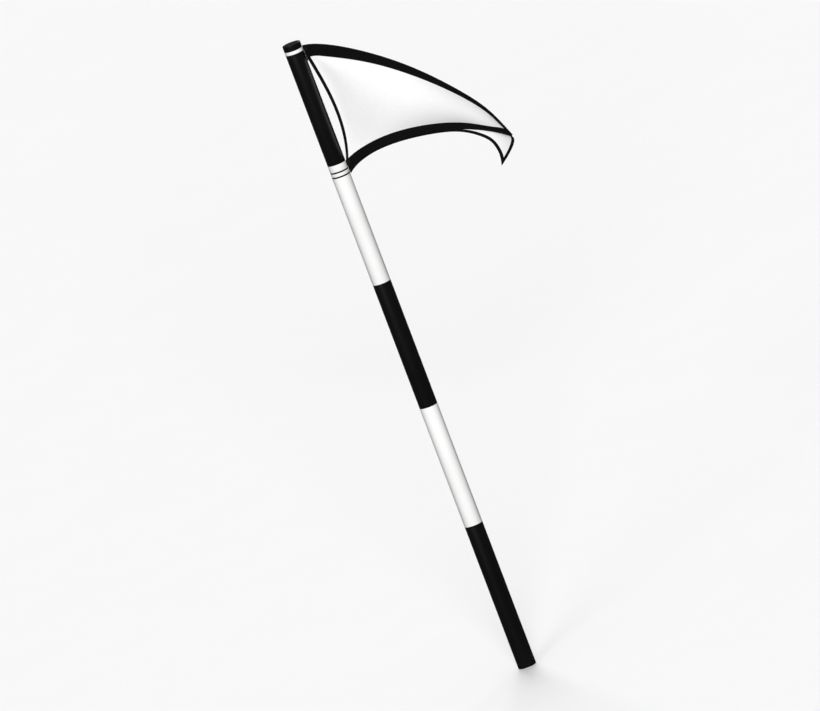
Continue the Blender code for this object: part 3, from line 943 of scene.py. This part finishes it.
def stitch_row(points, normals):
    """Stitches along a line of points, each a short thread that dips into the cloth."""
    gaps = np.linalg.norm(np.diff(points, axis=0), axis=1)
    along = np.concatenate([[0.0], np.cumsum(gaps)])
    verts, faces = [], []

    def read(values, s):
        return np.array([np.interp(s, along, values[:, k]) for k in range(3)])

    for n in range(int(along[-1] / STITCH_SPACING)):
        middle = (n + 0.5) * STITCH_SPACING
        first = len(verts)
        for step, lift, girth in STITCH_PROFILE:
            s = middle + step * STITCH_LENGTH
            here, up = read(points, s), read(normals, s)
            ahead = read(points, s + 0.3 * MM) - read(points, s - 0.3 * MM)
            side = np.cross(ahead, up)
            side /= max(np.linalg.norm(side), 1e-12)
            up = up / max(np.linalg.norm(up), 1e-12)
            reach = STITCH_WIDTH * girth
            for k in range(STITCH_SIDES):
                angle = 2 * pi * k / STITCH_SIDES
                rise = lift * STITCH_WIDTH + reach * sin(angle)
                verts.append(here + up * rise + side * reach * cos(angle))
        for ring in range(len(STITCH_PROFILE) - 1):
            start = first + ring * STITCH_SIDES
            for k in range(STITCH_SIDES):
                a, b = start + k, start + (k + 1) % STITCH_SIDES
                faces.append([a, b, b + STITCH_SIDES, a + STITCH_SIDES])
        last = first + (len(STITCH_PROFILE) - 1) * STITCH_SIDES
        faces.append([first + k for k in reversed(range(STITCH_SIDES))])
        faces.append([last + k for k in range(STITCH_SIDES)])
    return verts, faces


def make_stitches(lines):
    """Every seam's stitches as one piece; a line is its points and the way out of the cloth."""
    verts, faces = [], []
    for points, lifts in lines:
        more, shapes = stitch_row(points, lifts)
        faces += [[k + len(verts) for k in face] for face in shapes]
        verts += more
    return mesh_object("flag_stitches", verts, faces, sharp=STITCH_CREASE)


def seam_lines(grid, normals, marks):
    """The seams along the borders and in the bindings, on both faces of the cloth."""
    last = grid.shape[1] - 1
    rows = (marks["top"] + 0.4, marks["end"] - 0.6, marks["band"] + 0.4, marks["panel"] - 0.4)
    lines = []
    for row in rows:
        j, t = int(row), row % 1
        points = grid[j] * (1 - t) + grid[j + 1] * t
        lines.append((points[2:-3], normals[j][2:-3]))
    lines.append((grid[1][3 * last // 4 : -4], normals[1][3 * last // 4 : -4]))
    panel = slice(marks["panel"], marks["top"])
    lines.append((grid[panel, MARGIN - 1], normals[panel, MARGIN - 1]))
    flap = slice(marks["flap"], marks["band"])
    tip = last - MARGIN + 1
    lines.append((grid[flap, tip], normals[flap, tip]))
    both = []
    for points, lifts in lines:
        for side in (1, -1):
            both.append((points + lifts * side * BORDER_HALF, lifts * side))
    return both


def make_flag():
    grid, marks = flag_grid()
    normals = grid_normals(grid)
    uv = grid_lengths(grid)
    last = grid.shape[1] - 1
    end = marks["end"]

    cloth = sheet_piece("flag_sheet", grid, normals, uv, (1, end - 3), (2, last - 1), CLOTH_HALF)
    dress(cloth, "flag_swivel", "flag_cloth", ["flag"])
    parts = {
        "flag_top_border": ((marks["top"], end), (0, last)),
        "flag_lower_band_and_fold_shade": ((marks["band"], marks["panel"]), (0, last)),
        # The lower band is black cloth, and towards the free end its black is painted shade of the
        # fold over the flap.
        "flag_bottom_binding": ((0, marks["flap"]), (0, last)),
        "flag_hoist_binding": ((marks["panel"], marks["top"]), (0, MARGIN)),
        "flag_tip_binding": ((marks["flap"], marks["band"]), (last - MARGIN, last)),
    }
    pieces = []
    for name, (rows, columns) in parts.items():
        piece = sheet_piece(name, grid, normals, uv, rows, columns, BORDER_HALF)
        pieces.append(dress(piece, "flag_swivel", "black_cloth"))

    patches, patch_seams = make_patches()
    stitches = make_stitches(seam_lines(grid, normals, marks) + patch_seams)
    pieces += patches
    pieces.append(dress(stitches, "flag_swivel", "black_cloth", material="thread"))
    return cloth, pieces


def make_plate(node):
    low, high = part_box(node)
    corners = [(x, z, True) for x, z in (
        (low.x, low.z), (high.x, low.z), (high.x, high.z), (low.x, high.z),
    )]
    outline = rounded_outline(corners, PLATE_ROUND)
    plate = outline_slab(node + "_fine", outline, low.y, high.y, FINE_EDGE)
    dress(plate, "flag_swivel", "black_nylon", [node])


def make_rivet(node, front_seat):
    """A rivet with a domed head on the plate and a domed tail behind the lug."""
    low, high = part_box(node)
    centre = ((low.x + high.x) / 2, 0.0, (low.z + high.z) / 2)
    head = (high.x - low.x) / 2

    def dome(end, seat):
        angles = [pi / 2 * k / 6 for k in range(7)]
        return [(head * sin(a), end + (seat - end) * (1 - cos(a)) ** 1.3) for a in angles]

    shank = [(RIVET_SHANK, front_seat), (RIVET_SHANK, LUG_HALF)]
    profile = dome(low.y, front_seat) + shank + dome(high.y, LUG_HALF)[::-1]
    rivet = turned(node + "_fine", profile, False, RIVET_STEPS, axis="Y", centre=centre)
    dress(rivet, "flag_swivel", "black_oxide", [node])


def make_fixings():
    """Clamp plates and rivets at the two corners by the pole."""
    for side in ("upper", "lower"):
        plate = side + "_corner_plate"
        make_plate(plate)
        make_rivet(side + "_rivet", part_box(plate)[0].y)


# ------------------------------------------------------------------ studio


def make_camera():
    """A long lens from the front, a little above, rolled so that the pole leans left."""
    away = Vector((0.0, -cos(VIEW_ELEVATION), sin(VIEW_ELEVATION)))
    level_right = Vector((1.0, 0.0, 0.0))
    level_up = Vector((0.0, sin(VIEW_ELEVATION), cos(VIEW_ELEVATION)))
    right = level_right * cos(VIEW_ROLL) - level_up * sin(VIEW_ROLL)
    up = level_right * sin(VIEW_ROLL) + level_up * cos(VIEW_ROLL)
    data = bpy.data.cameras.new("camera")
    data.lens = LENS
    data.sensor_width = SENSOR
    data.clip_start = 0.1
    data.clip_end = 1000.0
    camera = bpy.data.objects.new("camera", data)
    bpy.context.scene.collection.objects.link(camera)
    distance = VIEW_WIDTH * LENS / SENSOR
    place = Matrix((right, up, away)).transposed().to_4x4()
    place.translation = VIEW_TARGET + away * distance
    camera.matrix_world = place
    bpy.context.scene.camera = camera


def make_sun(name, azimuth, elevation, strength, angle, glossy=True):
    """A soft sun at a bearing in degrees; azimuth 0 is the front of the flag."""
    data = bpy.data.lights.new(name, "SUN")
    data.energy = strength
    data.angle = radians(angle)
    sun = bpy.data.objects.new(name, data)
    sun.visible_glossy = glossy
    a, e = radians(azimuth), radians(elevation)
    source = Vector((-sin(a) * cos(e), -cos(a) * cos(e), sin(e)))
    sun.rotation_mode = "QUATERNION"
    sun.rotation_quaternion = source.to_track_quat("Z", "Y")
    bpy.context.scene.collection.objects.link(sun)


def make_world():
    """A studio that lights the object from overhead and looks evenly pale to the camera."""
    world = bpy.data.worlds.new("studio")
    world.use_nodes = True
    tree = world.node_tree
    background = tree.nodes["Background"]
    background.inputs["Color"].default_value = (1.0, 1.0, 1.0, 1.0)
    direction = add_node(tree, "ShaderNodeTexCoord").outputs["Generated"]
    height = add_node(tree, "ShaderNodeSeparateXYZ", {"Vector": direction}).outputs["Z"]
    above = math_node(tree, "MAXIMUM", height, 0.0)
    glow = math_node(tree, "POWER", above, SKY_POWER)
    light = math_node(tree, "MULTIPLY_ADD", glow, SKY_TOP, SKY_LOW)
    seen = add_node(tree, "ShaderNodeLightPath").outputs["Is Camera Ray"]
    shown = add_node(
        tree, "ShaderNodeMapRange",
        {"Value": seen, "To Min": light, "To Max": FAR_WALL},
    ).outputs["Result"]
    tree.links.new(shown, background.inputs["Strength"])
    bpy.context.scene.world = world


def make_stage():
    """A wide pale floor, which only the camera sees."""
    material, tree, shader = start_material("stage", 0.9, Specular_IOR_Level=0.0)
    speckle = noise(tree, (3, 3, 3), 2.0)
    tree.links.new(
        blend_colours(tree, remap(tree, speckle, 0, 1), (FLOOR,) * 3, (FLOOR + 0.005,) * 3),
        shader.inputs["Base Color"],
    )
    mesh = bpy.data.meshes.new("floor")
    signs = ((-1, -1), (1, -1), (1, 1), (-1, 1))
    corners = [(x * FLOOR_HALF, y * FLOOR_HALF, 0.0) for x, y in signs]
    mesh.from_pydata(corners, [], [(0, 1, 2, 3)])
    mesh.materials.append(material)
    floor = bpy.data.objects.new("floor", mesh)
    bpy.context.scene.collection.objects.link(floor)
    floor.visible_diffuse = False
    floor.visible_glossy = False


# ------------------------------------------------------------------- build

MATERIALS = make_materials()

make_camera()
make_world()
make_sun("key", azimuth=0.0, elevation=14.0, strength=2.9, angle=14.0, glossy=False)
make_sun("sheen", azimuth=25.0, elevation=24.0, strength=0.7, angle=20.0)
make_sun("back", azimuth=180.0, elevation=28.0, strength=2.4, angle=25.0, glossy=False)
make_sun("back_sheen", azimuth=205.0, elevation=26.0, strength=0.5, angle=20.0)
make_stage()
make_pole()
flag_sheet, flag_pieces = make_flag()
make_fixings()

bpy.context.scene.view_settings.view_transform = "Standard"
